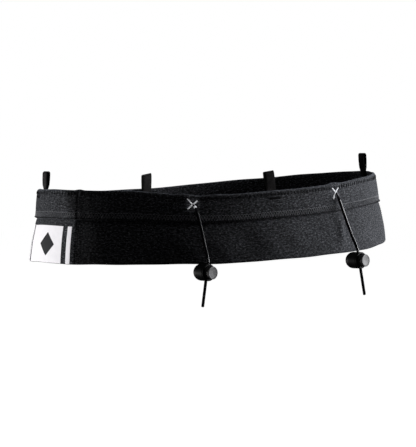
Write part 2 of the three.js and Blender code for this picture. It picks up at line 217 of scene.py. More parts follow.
def knit_height(look, wale, course):
    """Columns of V stitches: two rounded legs to a wale, sheared into a chevron."""
    u, v = look.uv()
    across = look.calc("FRACT", look.calc("DIVIDE", u, wale))
    side = look.calc("ABSOLUTE", look.calc("SUBTRACT", across, 0.5))
    off_leg = look.times(look.calc("SUBTRACT", side, 0.25), 4.0)
    leg = look.calc("SUBTRACT", 1.0, look.times(off_leg, off_leg))
    climb = look.plus(look.calc("DIVIDE", v, course), look.times(side, 1.3))
    loop = look.spread(look.wave(climb, 1.0), 0.0, 1.0, 0.5, 1.0)
    return look.times(leg, loop)


def knit_look(name, dark, light, wale, course):
    """Black stretch knit: fine V stitches, a grey heather and a soft nap."""
    look = Look(name, Specular_IOR_Level=0.1, Sheen_Weight=0.22, Sheen_Roughness=0.4)
    look.set(look.shader, "Sheen Tint", (0.6, 0.65, 0.76))
    u, v = look.uv()
    place = look.vector(look.times(u, 0.8), look.times(v, 1.5))
    grain = look.spread(look.noise(place, 480.0, 3.0, 0.7), 0.44, 0.64)
    flecks = look.spread(look.noise(place, 700.0, 1.5), 0.57, 0.72, 0.0, 0.65)
    clouds = look.spread(look.noise(place, 45.0), 0.3, 0.7, 0.75, 1.12)
    shade = look.mix(flecks, look.mix(grain, dark, light), HEATHER_GREY)
    look.colour(shade, clouds)
    look.rough(look.spread(grain, 0.0, 1.0, 0.96, 0.82))
    stitches = knit_height(look, wale, course)
    fuzz = look.noise(place, 900.0)
    look.bump(look.plus(stitches, fuzz), 0.18 * MM, 0.75)
    return look.material


def woven_look(name, dark, light, rib, pick, sheen=0.3, gloss=0.25, edge=None):
    """Ribbon and webbing: warp ribs crossed by picks, with painted shade darkening the colour
    towards an edge if it has one.
    """
    look = Look(name, Specular_IOR_Level=gloss, Sheen_Weight=sheen, Sheen_Roughness=0.35)
    look.set(look.shader, "Sheen Tint", (0.7, 0.72, 0.8))
    u, v = look.uv()
    ribs = look.wave(u, rib)
    picks = look.wave(look.plus(v, look.times(ribs, pick / 2)), pick)
    weave = look.plus(look.times(ribs, 0.6), look.times(picks, 0.4))
    grain = look.noise(look.vector(u, v), 700.0, 2.0)
    edge_shade = None
    # Painted shade: the colour darkens towards the edge, standing for the shade along the ribbon's
    # edges.
    if edge:
        edge_shade = look.spread(look.calc("ABSOLUTE", u), edge - EDGE_SHADE_WIDTH, edge, 1.0, 0.15)
    look.colour(look.mix(look.times(weave, grain), dark, light), edge_shade)
    look.rough(look.spread(weave, 0.0, 1.0, 0.85, 0.6))
    look.bump(weave, 0.15 * MM, 0.8)
    return look.material


def thread_look(name, dark, light, roughness, sheen=0.25, coat=0.0, gloss=0.4):
    """Sewing thread: twisted filaments along the strand."""
    look = Look(name, Specular_IOR_Level=gloss, Sheen_Weight=sheen, Sheen_Roughness=0.3)
    look.set(look.shader, "Coat Weight", coat)
    look.set(look.shader, "Coat Roughness", 0.25)
    around, along = look.uv()
    twist = look.wave(look.plus(around, along), PLY)
    fibres = look.noise(look.vector(look.times(around, 6.0), along), 1800.0, 2.0)
    look.colour(look.mix(look.times(twist, fibres), dark, light))
    look.rough(look.spread(fibres, 0.3, 0.7, roughness - 0.08, roughness + 0.12))
    look.bump(look.plus(twist, look.times(fibres, 0.4)), 0.06 * MM, 0.8)
    return look.material


def braid_look(name):
    """A braided cover: two sets of yarns that cross, with painted shine on their crowns."""
    look = Look(name, Specular_IOR_Level=0.08)
    around, along = look.uv()
    one_way = look.wave(look.plus(along, around), BRAID_PITCH)
    other_way = look.wave(look.calc("SUBTRACT", along, around), BRAID_PITCH)
    crowns = look.calc("MAXIMUM", one_way, other_way)
    fibres = look.noise(look.vector(around, along), 2200.0, 2.0)
    dark, light = (0.002, 0.002, 0.003), (0.014, 0.014, 0.016)
    # Painted highlight and shade: the colour is lighter on the yarn crowns and darker between them.
    look.colour(look.mix(look.times(crowns, fibres), dark, light))
    look.rough(look.spread(fibres, 0.3, 0.7, 0.2, 0.28))
    look.bump(crowns, 0.1 * MM, 0.25)
    return look.material


def print_look(name, base, shadow):
    """A heat-transfer print: a satin film that lets the knit below show faintly."""
    look = Look(name, Specular_IOR_Level=0.08)
    mottle = look.spread(look.noise(look.vector(*look.uv()), 260.0, 3.0), 0.35, 0.75)
    look.colour(look.mix(look.times(mottle, 0.35), base, shadow))
    look.rough(look.spread(mottle, 0.0, 1.0, 0.62, 0.78))
    look.bump(knit_height(look, 0.9 * MM, 0.7 * MM), 0.05 * MM, 0.5)
    return look.material


def moulded(look, scuffs, roughness, raised):
    """Finishes moulded plastic: fine spark-eroded grain with scuffs over it."""
    look.rough(look.spread(scuffs, 0.0, 1.0, *roughness))
    grain = look.noise(look.place(), 2600.0, 2.0)
    look.bump(look.plus(grain, look.times(scuffs, raised)), 0.03 * MM, 0.6)
    return look.material


def plastic_look(name, base, worn, roughness):
    """A moulded housing, with handling scuffs."""
    look = Look(name, Specular_IOR_Level=0.05)
    scuffs = look.spread(look.noise(look.place(), 380.0, 4.0, 0.7), 0.5, 0.78)
    look.colour(look.mix(look.times(scuffs, 0.6), base, worn))
    return moulded(look, scuffs, (roughness, roughness + 0.2), 0.5)


def button_look(name):
    """A moulded button: its end face is painted paler than its dark body, as painted light, and the
    face has scuffs on it.
    """
    look = Look(name, Specular_IOR_Level=0.4)
    _, along = look.uv()
    # Painted light: the end face gets a paler colour than the sides of the same part, where light
    # falls on it.
    lit_face_share = look.spread(along, PLUNGER_FACE - 0.65 * MM, PLUNGER_FACE - 0.4 * MM)
    scuffs = look.spread(look.noise(look.place(), 900.0, 3.0, 0.7), 0.4, 0.7)
    face = look.mix(scuffs, (0.022, 0.021, 0.022), (0.1, 0.097, 0.1))
    look.colour(look.mix(lit_face_share, (0.006, 0.006, 0.007), face))
    return moulded(look, scuffs, (0.42, 0.62), 1.0)


def steel_look(name):
    """Drawn spring wire: bright, with fine lines along it."""
    look = Look(name, Metallic=1.0)
    lines = look.noise(look.place(), 1500.0, 3.0)
    look.colour(look.mix(lines, (0.34, 0.34, 0.35), (0.6, 0.6, 0.62)))
    look.rough(look.spread(lines, 0.3, 0.7, 0.2, 0.4))
    look.bump(lines, 0.01 * MM, 0.5)
    return look.material


def make_looks():
    """Every look by name."""
    black, charcoal = (0.002, 0.0021, 0.0026), (0.045, 0.0463, 0.052)
    knit = {"dark": black, "light": charcoal}
    recipes = {
        "pouch_knit": (knit_look, {**knit, "wale": 0.95 * MM, "course": 0.75 * MM}),
        "band_knit": (knit_look, {**knit, "wale": 1.1 * MM, "course": 0.8 * MM}),
        "elastic": (woven_look, {
            "dark": (0.02, 0.02, 0.022), "light": (0.09, 0.09, 0.1),
            "rib": 1.4 * MM, "pick": 0.7 * MM,
        }),
        "ribbon": (woven_look, {
            "dark": (0.002, 0.0018, 0.0019), "light": (0.05, 0.0455, 0.047),
            "rib": 1.1 * MM, "pick": 0.6 * MM, "sheen": 0.02, "gloss": 0.04, "edge": RIBBON_EDGE,
        }),
        "black_thread": (thread_look, {
            "dark": (0.001, 0.001, 0.0015), "light": (0.008, 0.008, 0.01),
            "roughness": 0.7, "sheen": 0.0, "gloss": 0.08,
        }),
        # Paler than the black thread of the same stitch's edge row: a painted highlight for the
        # thread's shine.
        "cover_thread_painted_shine": (thread_look, {
            "dark": (0.06, 0.062, 0.068), "light": (0.3, 0.305, 0.33), "roughness": 0.6,
        }),
        "pale_thread": (thread_look, {
            "dark": (0.75, 0.77, 0.8), "light": (0.98, 0.98, 1.0),
            "roughness": 0.35, "sheen": 1.0, "coat": 0.8,
        }),
        "cord": (braid_look, {}),
        "label_print": (print_look, {"base": (0.78, 0.765, 0.795), "shadow": (0.66, 0.65, 0.68)}),
        "mark_print": (print_look, {"base": (0.012, 0.012, 0.015), "shadow": (0.036, 0.036, 0.04)}),
        "lock_body": (plastic_look, {
            "base": (0.0015, 0.0015, 0.002), "worn": (0.007, 0.007, 0.0075), "roughness": 0.46,
        }),
        "lock_plunger": (button_look, {}),
        "steel": (steel_look, {}),
    }
    return {name: make(name, **values) for name, (make, values) in recipes.items()}


# ---- Meshes ----

def make_piece(node, kind, shape, look, body="root", stands_in=True):
    """One mesh from (points, faces, uv), faces pointing out, riding on its body.

    It stands in for the CAD model's node, unless it is an extra."""
    name = f"{node}_{kind}"
    points, faces, uv = shape
    mesh = bpy.data.meshes.new(name)
    mesh.from_pydata([tuple(p) for p in points], [], faces)
    layer = mesh.uv_layers.new(name="Weave")
    corner = np.empty(len(mesh.loops), dtype=np.int32)
    mesh.loops.foreach_get("vertex_index", corner)
    layer.data.foreach_set("uv", np.asarray(uv, dtype=np.float32)[corner].ravel())
    mesh.validate()
    mesh.calc_loop_triangles()
    triangles = np.empty(len(mesh.loop_triangles) * 3, dtype=np.int32)
    mesh.loop_triangles.foreach_get("vertices", triangles)
    a, b, c = np.asarray(points)[triangles.reshape(-1, 3)].transpose(1, 0, 2)
    if np.einsum("ij,ij->i", a, np.cross(b, c)).sum() < 0:
        mesh.flip_normals()
    mesh.shade_smooth()
    mesh.set_sharp_from_angle(angle=math.radians(50))
    mesh.materials.append(look)
    piece = bpy.data.objects.new(name, mesh)
    bpy.context.collection.objects.link(piece)
    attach(piece, body)
    if stands_in:
        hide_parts(node)
    return piece


def grid_faces(rows, columns):
    """Quads over a grid of points whose last column joins the first."""
    row, column = np.meshgrid(np.arange(rows - 1), np.arange(columns), indexing="ij")
    beside = (column + 1) % columns
    corners = [row * columns + column, row * columns + beside]
    corners += [(row + 1) * columns + beside, (row + 1) * columns + column]
    return np.stack(corners, -1).reshape(-1, 4).tolist()


def strip_faces(rows, columns):
    """The faces of a swept strip: a grid, and a row of quads over each cut end."""
    faces = grid_faces(rows, columns)
    for base, flip in ((0, 1), ((rows - 1) * columns, -1)):
        for i in range(columns // 2 - 1):
            quad = [i, i + 1, columns - 2 - i, columns - 1 - i]
            faces.append([base + corner for corner in quad][::flip])
    return faces


def strip_uv(first, second):
    """UVs in metres for a grid of points, row by row."""
    return np.stack([np.repeat(first, len(second)), np.tile(second, len(first))], -1)


def unit(vectors):
    return vectors / np.linalg.norm(vectors, axis=-1, keepdims=True)


def lengths(points):
    """Distance along a line of points, from its first."""
    steps = np.linalg.norm(np.diff(points, axis=0), axis=1)
    return np.concatenate([[0], np.cumsum(steps)])


def resample(points, distances):
    points = np.asarray(points, float)
    along = lengths(points)
    return np.stack([np.interp(distances, along, axis) for axis in points.T], -1)


def arc(centre, radius, start, end, count):
    turn = np.radians(np.linspace(start, end, count))
    return np.stack([centre[0] + radius * np.cos(turn), centre[1] + radius * np.sin(turn)], -1)


def strip_outline(line, thickness, step=1.1 * MM):
    """The closed outline of a strip that follows a line of (out, up), with rounded edges.

    The second half runs back beside the first, point for point."""
    total = lengths(line)[-1]
    edge = thickness / 2 * np.array([0, 0.15, 0.5, 1])
    middle = np.linspace(edge[-1], total - edge[-1], max(2, round(total / step)))[1:-1]
    along = np.concatenate([edge, middle, (total - edge)[::-1]])
    points = resample(line, along)
    tangent = unit(np.gradient(points, along, axis=0))
    across = np.stack([-tangent[:, 1], tangent[:, 0]], -1)
    inset = np.clip(1 - np.minimum(along, total - along) / (thickness / 2), 0, 1)
    half = thickness / 2 * np.maximum(0.25, np.sqrt(1 - inset**2))[:, None]
    outline = np.vstack([points + across * half, (points - across * half)[::-1]])
    return outline, np.concatenate([along, along[::-1]])


def tube(path, radius, sides, reference=None):
    """Points, faces and UVs of a closed round strand; its ends are domed."""
    path = np.asarray(path, float)
    count = len(path)
    radius = np.broadcast_to(radius, count).astype(float)
    tangent = unit(np.gradient(path, axis=0))
    if reference is None:
        reference = steady_sides(tangent)
    side = unit(reference - np.sum(reference * tangent, axis=1, keepdims=True) * tangent)
    other = np.cross(tangent, side)
    turn = np.linspace(0, 2 * math.pi, sides, endpoint=False)
    cos, sin = np.cos(turn)[None, :, None], np.sin(turn)[None, :, None]
    rings = path[:, None] + radius[:, None, None] * (cos * side[:, None] + sin * other[:, None])
    first, last = (
        path[end] + way * tangent[end] * radius[end] * 0.35 + 0.55 * (rings[end] - path[end])
        for end, way in ((0, -1), (-1, 1))
    )
    points = np.concatenate([first[None], rings, last[None]]).reshape(-1, 3)
    faces = grid_faces(count + 2, sides)
    faces.append(list(range(sides))[::-1])
    faces.append([(count + 1) * sides + i for i in range(sides)])
    along = np.concatenate([[0], lengths(path), [lengths(path)[-1]]])
    around = np.abs(turn / math.pi - 1) * math.pi * radius.max()
    return points, faces, strip_uv(along, around)[:, ::-1]


def steady_sides(tangent):
    """A side direction for each point of a path that turns no more than the path does."""
    start = np.array([0.0, 0.0, 1.0])
    if abs(tangent[0] @ start) > 0.9:
        start = np.array([1.0, 0.0, 0.0])
    sides = [start]
    for direction in tangent:
        sides.append(unit(sides[-1] - (sides[-1] @ direction) * direction))
    return np.array(sides[1:])


def join(parts):
    """Several (points, faces, uv) as one."""
    points, faces, uv, start = [], [], [], 0
    for part_points, part_faces, part_uv in parts:
        points.append(part_points)
        uv.append(part_uv)
        faces += [[i + start for i in face] for face in part_faces]
        start += len(part_points)
    return np.concatenate(points), faces, np.concatenate(uv)


# ---- The ring of cloth ----

def outward(angle):
    """The unit way out from the wearer."""
    angle = np.asarray(angle, float)
    x, y = np.sin(angle) / HALF_WIDTH, -np.cos(angle) / HALF_DEPTH
    return unit(np.stack([x, y, 0 * angle], -1))


def axes_at(angle):
    """Unit ways round the waist, up, and out, at an angle."""
    out, up = outward(angle), np.array([0.0, 0.0, 1.0])
    return np.stack([np.cross(up, out), up, out])


def arc_per_radian(angle):
    """Metres round the waist for each radian."""
    return np.hypot(HALF_WIDTH * np.cos(angle), HALF_DEPTH * np.sin(angle))


def arc_lengths(angles):
    """Distance round the waist from the first of a row of angles."""
    return np.concatenate([[0], np.cumsum(np.diff(angles) * arc_per_radian(angles[1:]))])


def near(distance, width):
    """A soft bump: 1 at no distance, 0 well beyond the width."""
    return np.exp(-((distance / width) ** 2))


def ripple(angle, *waves):
    """A sum of (count round the waist, phase, size) sines, so that it closes on itself."""
    return sum(size * np.sin(count * angle + phase) for count, phase, size in waves)


def from_cross(side, angle, up):
    """Distances along and up from the middle of one side's cross."""
    centre = SIDES[side]["angle"]
    return (angle - centre) * arc_per_radian(centre), up - (HEIGHT - CROSS_DEPTH)


def even_ring(angle, up, flare_gain=1, rim_shift=0, hem_shift=0):
    """A point of the CAD model's ring, on the wearer's side of the cloth."""
    flare = HEM_FLARE * np.maximum(0, 1 - up / HEIGHT) ** FLARE_POWER * flare_gain
    lean = RIM_LEAN * np.sin(2 * angle) * np.maximum(0, np.cos(angle))
    rim = HEIGHT / 2 - RIM_DIP * np.cos(2 * angle) + lean + rim_shift
    hem = -HEIGHT / 2 - HEM_DIP * np.cos(2 * angle) + hem_shift
    x = (HALF_WIDTH + flare) * np.sin(angle)
    y = -(HALF_DEPTH + flare) * np.cos(angle)
    return np.stack([x, y, hem + (rim - hem) * up / HEIGHT], -1)


def ring(angle, up, out):
    """A point of the belt: round the waist, up from the hem, and out from the wearer."""
    angle, up, out = np.broadcast_arrays(*(np.asarray(x, float) for x in (angle, up, out)))
    below = np.clip(1 - up / BAND_LOW, 0, 1)
    flare_gain = 1 + 0.3 * below * lobe(angle, -105, 28)
    inside = even_ring(angle, up, flare_gain, rim_pull(angle), hem_wave(angle))
    return inside + outward(angle) * out[..., None]


def lobe(angle, degrees, width):
    """One soft bump round the waist, from 0 to 1."""
    off = angle - math.radians(degrees)
    return near(np.arctan2(np.sin(off), np.cos(off)), math.radians(width))


# (degrees round the waist, half width in degrees, rise in mm)
RIM_SWELLS = ((-69, 1.6, 0.7), (69, 1.6, 0.7), (150, 14, 1.2), (-157, 11, -0.8), (-50, 14, 2.2))


def rim_pull(angle):
    """The crosses pucker the rim, the seams lift it, and it is slightly uneven."""
    left, _ = from_cross("left", angle, 0)
    right, _ = from_cross("right", angle, 0)
    puckers = 1.3 * near(right, 6 * MM) - 1.1 * near(left - 5 * MM, 7 * MM)
    puckers = puckers + 0.5 * near(left + 5 * MM, 5 * MM)
    swells = sum(rise * lobe(angle, degrees, width) for degrees, width, rise in RIM_SWELLS)
    return MM * (puckers + swells) + ripple(angle, (9, 1.0, 0.25 * MM), (17, 2.1, 0.12 * MM))


def hem_wave(angle):
    return ripple(angle, (7, 0.4, 0.3 * MM), (13, 2.6, 0.18 * MM), (23, 0.9, 0.1 * MM))


def cross_pucker(angle, up):
    """Each cross is pulled in, with short folds round it."""
    total = 0
    for side in SIDES:
        along, above = from_cross(side, angle, up)
        reach = np.hypot(along, above)
        bearing = np.arctan2(above, along)
        folds = np.cos(5 * bearing + 0.6) * near(reach - 7 * MM, 4.5 * MM)
        total = total + 0.28 * MM * folds - 0.6 * MM * near(reach, 4.5 * MM)
    return total


def crease(angle, up):
    """One soft fold that runs down from the right cross."""
    along, above = from_cross("right", angle, up)
    middle = 3.2 * MM + 0.09 * above
    length = near(up - 20 * MM, 17 * MM)
    return 1.5 * MM * near(along - middle, 3.4 * MM) * length


def seam_valley(angle):
    """Each side seam draws the cloth in, between two low ridges."""
    off_seam = (np.abs(np.arctan2(np.sin(angle), np.cos(angle))) - SEAM) * arc_per_radian(SEAM)
    return -0.75 * MM * near(off_seam, 1.2 * MM) + 0.3 * MM * near(off_seam, 3.2 * MM)


def pouch_relief(angle, up):
    """How far the pouch's outer layer stands proud of its even shape."""
    belly = np.sin(math.pi * np.clip(up / BAND_LOW, 0, 1))
    sway = ripple(angle, (11, 0.7, 0.35 * MM), (19, 2.0, 0.22 * MM), (31, 4.0, 0.12 * MM))
    slant = ripple(angle + 6 * up, (27, 1.3, 0.14 * MM), (41, 0.2, 0.09 * MM))
    at_label = lobe(angle, -88, 22)
    sway, slant = sway * (1 - 0.8 * at_label), slant * (1 - 0.9 * at_label)
    tuck = -0.7 * MM * near(up - BAND_LOW, 2 * MM)
    swell = 1.1 * MM + sway + slant + crease(angle, up)
    return belly * swell + seam_valley(angle) + tuck


def band_relief(angle, up):
    """The band lies flatter, gathered a little by its elastic and by each row of stitches."""
    height = np.clip((up - BAND_LOW) / (HEIGHT - BAND_LOW), 0, 1)
    belly = 0.45 * MM * np.sin(math.pi * height)
    gathers = ripple(
        angle + 2 * up, (67, 0.3, 0.04 * MM), (93, 1.9, 0.03 * MM), (37, 2.2, 0.06 * MM)
    )
    uneven = 1 + ripple(angle, (29, 1.1, 0.4), (53, 0.2, 0.3))
    flap = 0.35 * MM * near(up - BAND_LOW, 2 * MM) * uneven
    rows = near(up - BAND_LOW - 1.3 * MM, 1 * MM) + near(up - COVER_ROW, 1 * MM)
    sewn = -0.12 * MM * rows - 0.15 * MM * near(up - RIM_ROW, 1.6 * MM)
    return belly + gathers + flap + sewn + cross_pucker(angle, up) + seam_valley(angle)


def pouch_place(angle, up, out):
    """Puts a point of the pouch's section on the ring; only the outer layer takes the relief."""
    share = np.clip((out - POUCH_INSIDE) / (POUCH_OUTSIDE - POUCH_INSIDE), 0, 1)
    return ring(angle, up, out + share * pouch_relief(angle, up))


def band_place(angle, up, out):
    """The same for the band, whose lower edge also settles."""
    share = np.clip(out / BAND_THICKNESS, 0, 1)
    return ring(angle, band_settle(angle, up), out + share * band_relief(angle, up))


def band_settle(angle, up):
    """The band's lower edge hangs lower towards the wearer's left hip."""
    share = np.clip((HEIGHT - up) / (HEIGHT - BAND_LOW), 0, 1)
    return up - 1.2 * MM * share * lobe(angle, 78, 24)


def on_pouch(angle, up, lift):
    """A point lifted off the pouch's outer face, which curls in at the hem."""
    fold = (POUCH_OUTSIDE - POUCH_INSIDE) / 2
    into_fold = np.clip(fold - up, 0, fold)
    tucked = fold - np.sqrt(fold**2 - into_fold**2)
    return ring(angle, up, POUCH_OUTSIDE + pouch_relief(angle, up) + lift - tucked)


def on_band(angle, up, lift):
    """A point lifted off the band's outer face."""
    return ring(angle, band_settle(angle, up), BAND_THICKNESS + band_relief(angle, up) + lift)


def sweep(section, start, end, place, step=1.5 * MM):
    """Carries a closed outline round the ring. Returns points, faces and UVs in metres."""
    outline, section_along = section
    count = max(2, round((end - start) * arc_per_radian((start + end) / 2) / step))
    angles = np.linspace(start, end, count)
    grid = place(angles[:, None], outline[None, :, 1], outline[None, :, 0])
    round_waist = arc_lengths(angles)
    faces = strip_faces(count, len(outline))
    return grid.reshape(-1, 3), faces, strip_uv(round_waist, section_along)


def rectangle(inner, outer, low, high, rows):
    """The outline of a thin upright slab: up one face and down the other."""
    ups = np.linspace(low, high, rows)
    up_and_down = np.concatenate([ups, ups[::-1]])
    return np.stack([np.repeat([outer, inner], rows), up_and_down], -1), up_and_down


def make_cloth(looks):
    """Panels and bands, front and back, each cut as one strip and folded."""
    pouch_in, pouch_out = POUCH_INSIDE + KNIT / 2, POUCH_OUTSIDE - KNIT / 2
    fold = (pouch_out - pouch_in) / 2
    pouch_hem = arc((pouch_in + fold, KNIT / 2 + fold), fold, 180, 360, 9)
    pouch_line = np.vstack([[pouch_in, POUCH_TOP], pouch_hem, [pouch_out, POUCH_TOP]])
    band_in, band_out = KNIT / 2, BAND_THICKNESS - KNIT / 2
    turn = (band_out - band_in) / 2
    band_rim = arc((band_in + turn, HEIGHT - KNIT / 2 - turn), turn, 0, 180, 11)
    band_line = np.vstack([[band_out, BAND_LOW], band_rim, [band_in, BAND_LOW]])
    halves = {"front": (-SEAM, SEAM), "back": (SEAM, 2 * math.pi - SEAM)}
    cloths = {
        "pouch_panel": ("pouch_knit", pouch_line, pouch_place),
        "waistband": ("band_knit", band_line, band_place),
    }
    for cloth, (slot, line, place) in cloths.items():
        for half, (start, end) in halves.items():
            node = f"{cloth}_{half}"
            shape = sweep(strip_outline(line, KNIT), start, end, place)
            piece = make_piece(node, "knit", shape, looks[slot])
            run = lengths(ring(np.linspace(start, end, 200), HEIGHT / 2, BAND_THICKNESS / 2))[-1]
            flat = (lengths(line)[-1], run)


def make_elastic(looks):
    """The hidden webbing inside the band."""
    middle = BAND_THICKNESS / 2
    low, high = POUCH_TOP + ELASTIC_CLEARANCE, HEIGHT - KNIT - ELASTIC_CLEARANCE
    inner, outer = middle - ELASTIC_THICKNESS / 2, middle + ELASTIC_THICKNESS / 2
    section = rectangle(inner, outer, low, high, 12)
    shape = sweep(section, *ALL_ROUND, ring, 2 * MM)
    make_piece("waistband_elastic", "webbing", shape, looks["elastic"])


# ---- Stitching ----

FINE_THREAD = 0.2 * MM
COARSE_THREAD = 0.34 * MM


def even_angles(start, end, pitch):
    """Angles a steady distance apart round the waist."""
    fine = np.linspace(start, end, 2000)
    along = arc_lengths(fine)
    return np.interp(np.arange(0, along[-1], pitch), along, fine)


def dashes(angles, up, length, radius, surface, slope=0.0):
    """Short stitches in a row: each rises out of the cloth, lies on it and goes down again."""
    share = np.linspace(-0.5, 0.5, 5)
    rise = radius * np.array([-1.0, 0.3, 0.5, 0.3, -1.0])
    parts = []
    for angle in angles:
        run = angle + share * length / arc_per_radian(angle)
        path = surface(run, up + share * slope, rise)
        parts.append(tube(path, radius, 6, outward(run)))
    return parts


def upright_dashes(angle, ups, length, radius, surface):
    """Short stitches one above the other."""
    share = np.linspace(-0.5, 0.5, 5)
    rise = radius * np.array([-1.0, 0.5, 0.8, 0.5, -1.0])
    run = np.full(5, angle)
    paths = [surface(run, up + share * length, rise) for up in ups]
    return [tube(path, radius, 6, outward(run)) for path in paths]


def sew(node, parts, look):
    """Joins strands of thread into the piece that stands for one node."""
    make_piece(node, "thread", join(parts), look)


def looper_path(low, high, pitch):
    """The angles and heights of a thread that zigzags between two rows, four points a leg."""
    turns = even_angles(*ALL_ROUND, pitch)
    corner = np.arange(len(turns))
    fine = np.linspace(0, corner[-1], 4 * corner[-1] + 1)
    heights = np.where(corner % 2, high, low)
    return np.interp(fine, corner, turns), np.interp(fine, corner, heights)


def make_stitches(looks):
    """The cover stitch along the band's lower edge, and the slanted row along the rim."""
    black, pale = looks["black_thread"], looks["cover_thread_painted_shine"]
    edge_line, pitch = BAND_LOW + 0.7 * MM, 2.3 * MM
    angles = even_angles(*ALL_ROUND, pitch)
    edge_row = dashes(angles, edge_line, 1.7 * MM, COARSE_THREAD, on_band, slope=0.5 * MM)
    make_piece("band_coverstitch", "edge", join(edge_row), black, stands_in=False)
    # The upper rows and looper use the paler cover thread, a painted highlight; the edge row keeps
    # the black thread.
    rows = dashes(angles, COVER_ROW, 1.8 * MM, FINE_THREAD, on_band)
    run, up = looper_path(edge_line + 0.5 * MM, COVER_ROW - 0.35 * MM, pitch / 2)
    looper = on_band(run, up, np.full(len(run), 0.03 * MM))
    rows.append(tube(looper, 0.11 * MM, 6, outward(run)))
    sew("band_coverstitch", rows, pale)
    rim_angles = even_angles(*ALL_ROUND, 3.2 * MM)
    rim_row = dashes(rim_angles, RIM_ROW, 0.6 * MM, COARSE_THREAD, on_band, slope=3.0 * MM)
    sew("rim_stitch", rim_row, black)


def make_side_seams(looks):
    """A ladder of stitches across each side seam, beside a line of tight dots."""
    runs = {
        "band": (BAND_LOW + 6.6 * MM, HEIGHT - 4 * MM, on_band),
        "pouch": (2 * MM, BAND_LOW - 1 * MM, on_pouch),
    }
    for side, angle in (("left", -SEAM), ("right", SEAM)):
        for part, (low, high, surface) in runs.items():
            ups = np.arange(low + 1 * MM, high - 0.5 * MM, 1.9 * MM)
            rungs = []
            for up in ups:
                rungs += dashes([angle], up, 2.3 * MM, FINE_THREAD, surface, slope=0.5 * MM)
            beside = angle + 1.3 * MM / arc_per_radian(angle)
            rungs += upright_dashes(beside, ups, 1.4 * MM, 0.24 * MM, surface)
            sew(f"side_seam_{part}_{side}", rungs, looks["black_thread"])


def satin(corners, width, pitch, radius, place):
    """A satin bar: one thread laid back and forth across a line from start to end."""
    start, end = (np.asarray(c, float) for c in corners)
    along = unit(end - start)
    across = np.array([-along[1], along[0]])
    count = max(3, round(np.linalg.norm(end - start) / pitch))
    reach = np.linspace(-0.5, 0.5, 7)[:, None] * (across * width + along * pitch * 0.4)
    rise = radius * np.array([-1.2, 0.7, 1.2, 1.35, 1.2, 0.7, -1.2])
    parts = []
    for share in np.linspace(0, 1, count):
        flat = start + (end - start) * share + reach
        parts.append(tube(place(flat[:, 0], flat[:, 1], rise), radius, 6))
    return parts


def make_loop_bartacks(looks, angles):
    """A black satin bar over the foot of each ribbon loop."""
    ends = [(-4.6 * MM, 0), (4.6 * MM, 0)]
    for name, angle in angles.items():
        node = f"loop_bartack_{name}"
        middle = node_up(node, angle)

        def place(along, above, lift, angle=angle, middle=middle):
            return on_band(angle + along / arc_per_radian(angle), middle + above, lift - 0.05 * MM)

        sew(node, satin(ends, 2.2 * MM, 0.5 * MM, 0.27 * MM, place), looks["black_thread"])


def node_middle(node):
    low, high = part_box(node)
    return (Vector(low) + Vector(high)) / 2


def node_angle(node):
    middle = node_middle(node)
    return math.atan2(middle.x / HALF_WIDTH, -middle.y / HALF_DEPTH)


def node_up(node, angle):
    """Height above the hem of the middle of a node on the ring."""
    low, high = ring(angle, np.array([0, HEIGHT]), 0)[:, 2]
    return HEIGHT * (node_middle(node).z - low) / (high - low)


# ---- Label ----

def make_label(looks):
    """Printed film on the pouch: a field, a stripe on each side and a plain rhombus."""
    thickness, lift = 0.16 * MM, 0.07 * MM
    for node, edges in LABEL_EDGES.items():
        start, end = map(math.radians, edges)
        section = rectangle(lift, lift + thickness, LABEL_LOW, LABEL_HIGH, 30)
        shape = sweep(section, start, end, on_pouch, 1.2 * MM)
        make_piece(node, "print", shape, looks["label_print"])

    middle = node_angle("label_mark")
    half = MARK_WIDTH / 2 / arc_per_radian(middle)

    def rhombus(angle, share, out):
        reach = MARK_HEIGHT / 2 * (1 - 0.985 * np.abs(angle - middle) / half)
        return on_pouch(angle, (LABEL_LOW + LABEL_HIGH) / 2 + share * reach, out)

    section = rectangle(lift + thickness, lift + 1.7 * thickness, -1, 1, 16)
    shape = sweep(section, middle - half, middle + half, rhombus, 0.6 * MM)
    make_piece("label_mark", "print", shape, looks["mark_print"])


# ---- Ribbon loops ----

LOOP_WIDTH = 9.2 * MM
LOOP_RISE = 16.3 * MM
LOOP_LEG = 9 * MM
LOOP_SPACING = 1.5 * MM
LOOP_GAPE = 3.2 * MM
RIBBON = 0.85 * MM
LOOP_OUT = -0.4 * MM - LOOP_SPACING / 2 - RIBBON / 2
LOOP_CROWN = LOOP_RISE - LOOP_GAPE / 2 - RIBBON / 2
LOOPS = {
    "front": {"turn": 4, "cut": 0, "lean": (-1.8, 0), "slant": 0.1},
    "right": {"turn": -9, "cut": 0, "lean": (0, -0.3), "slant": 0},
    "back": {"turn": 0, "cut": 3.0, "lean": (-0.8, 0), "slant": -0.15},
    "left": {"turn": -10, "cut": 1.2, "lean": (0, -1.2), "slant": 0},
}


def loop_outline():
    """A doubled ribbon seen from its edge: two legs side by side that open into a fold."""
    foot, crown = LOOP_SPACING / 2, LOOP_CROWN
    rows = [(foot, -LOOP_LEG), (foot, 0)]
    rows += [(LOOP_GAPE * 0.36, crown * 0.3), (LOOP_GAPE * 0.48, crown * 0.65)]
    fold = arc((0, crown), LOOP_GAPE / 2, 0, 180, 25)
    line = np.array([*rows, *fold, *[(-out, up) for out, up in rows[::-1]]])
    line = resample(line, np.linspace(0, lengths(line)[-1], 120))
    for _ in range(3):
        line[1:-1] = (line[:-2] + 2 * line[1:-1] + line[2:]) / 4
    return strip_outline(line, RIBBON, 0.35 * MM)


